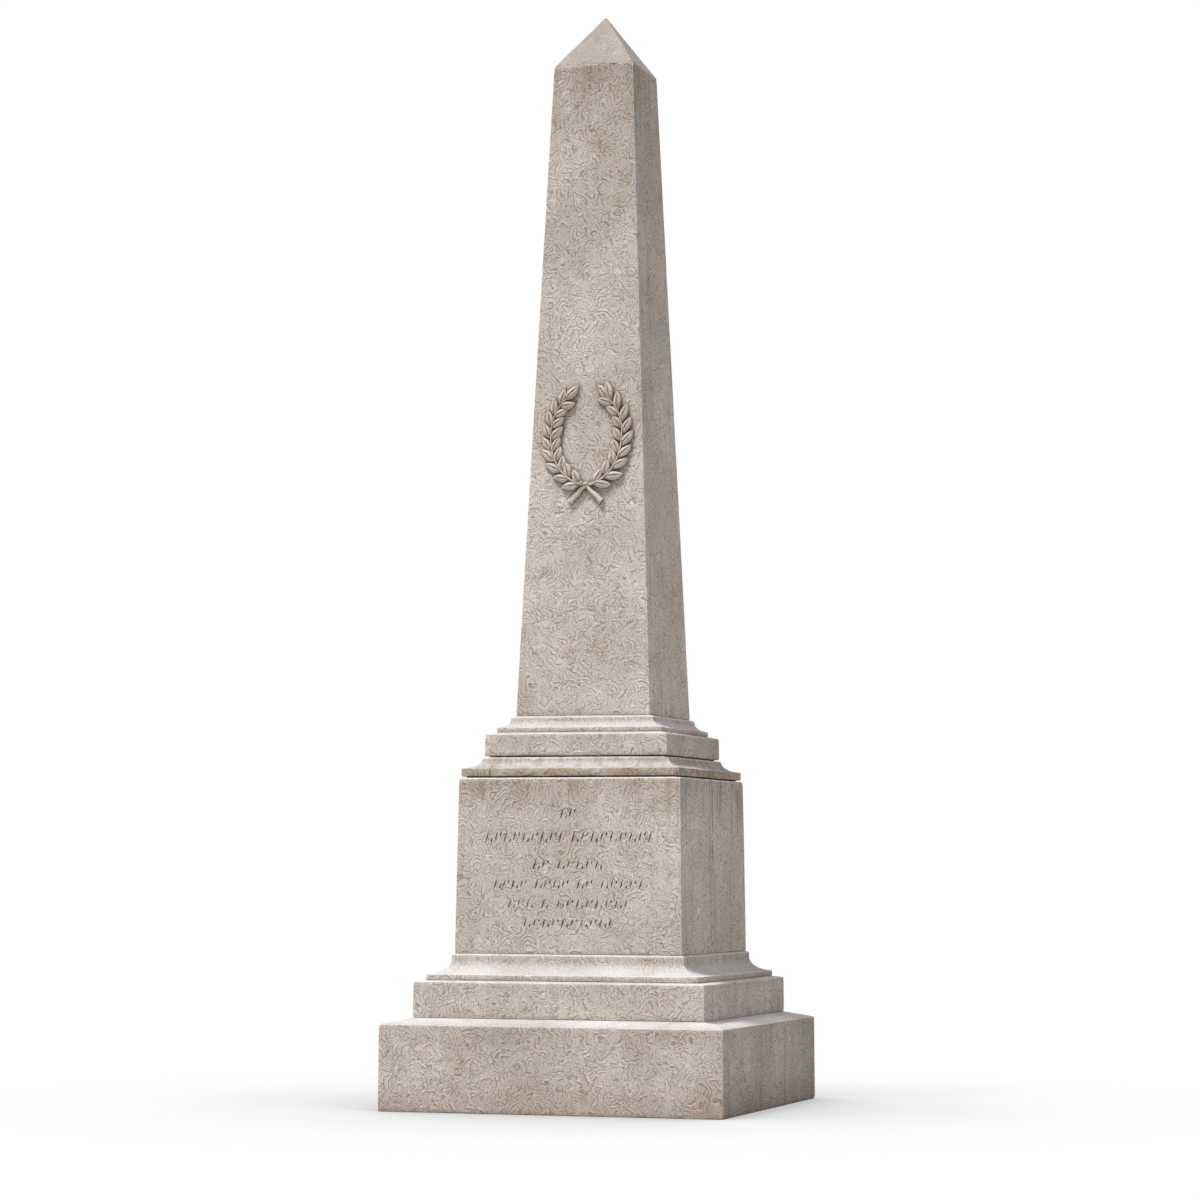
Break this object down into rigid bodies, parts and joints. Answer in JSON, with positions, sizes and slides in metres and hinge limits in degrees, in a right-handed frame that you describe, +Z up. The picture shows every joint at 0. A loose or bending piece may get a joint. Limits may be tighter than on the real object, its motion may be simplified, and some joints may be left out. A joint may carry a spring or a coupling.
{
  "type": "war memorial obelisk",
  "caption": "Tapering limestone obelisk with a carved laurel wreath, on a moulded pedestal with rows of cut strokes and two square steps.",
  "frame": {"origin": "centre of the underside of the lowest step, on the ground", "axes": "+Z up, -Y is the front with the wreath and the rows of strokes, +X is the viewer's right seen from the front"},
  "size_m": [1.423, 1.423, 4.5],
  "materials": {
    "limestone_steps": "fine rubbed limestone, weathered",
    "limestone_mouldings": "fine rubbed limestone, weathered",
    "limestone_die": "fine rubbed limestone, stained under the cap",
    "limestone_shaft": "fine rubbed limestone, weathered"
  },
  "bodies": {
    "root": {"base_step": "limestone_steps", "upper_step": "limestone_steps", "die_base_moulding": "limestone_mouldings", "die": "limestone_die", "die_cap_moulding": "limestone_mouldings", "neck_plinth": "limestone_mouldings", "shaft_base_moulding": "limestone_mouldings", "obelisk_shaft": "limestone_shaft"}
  },
  "joints": []
}
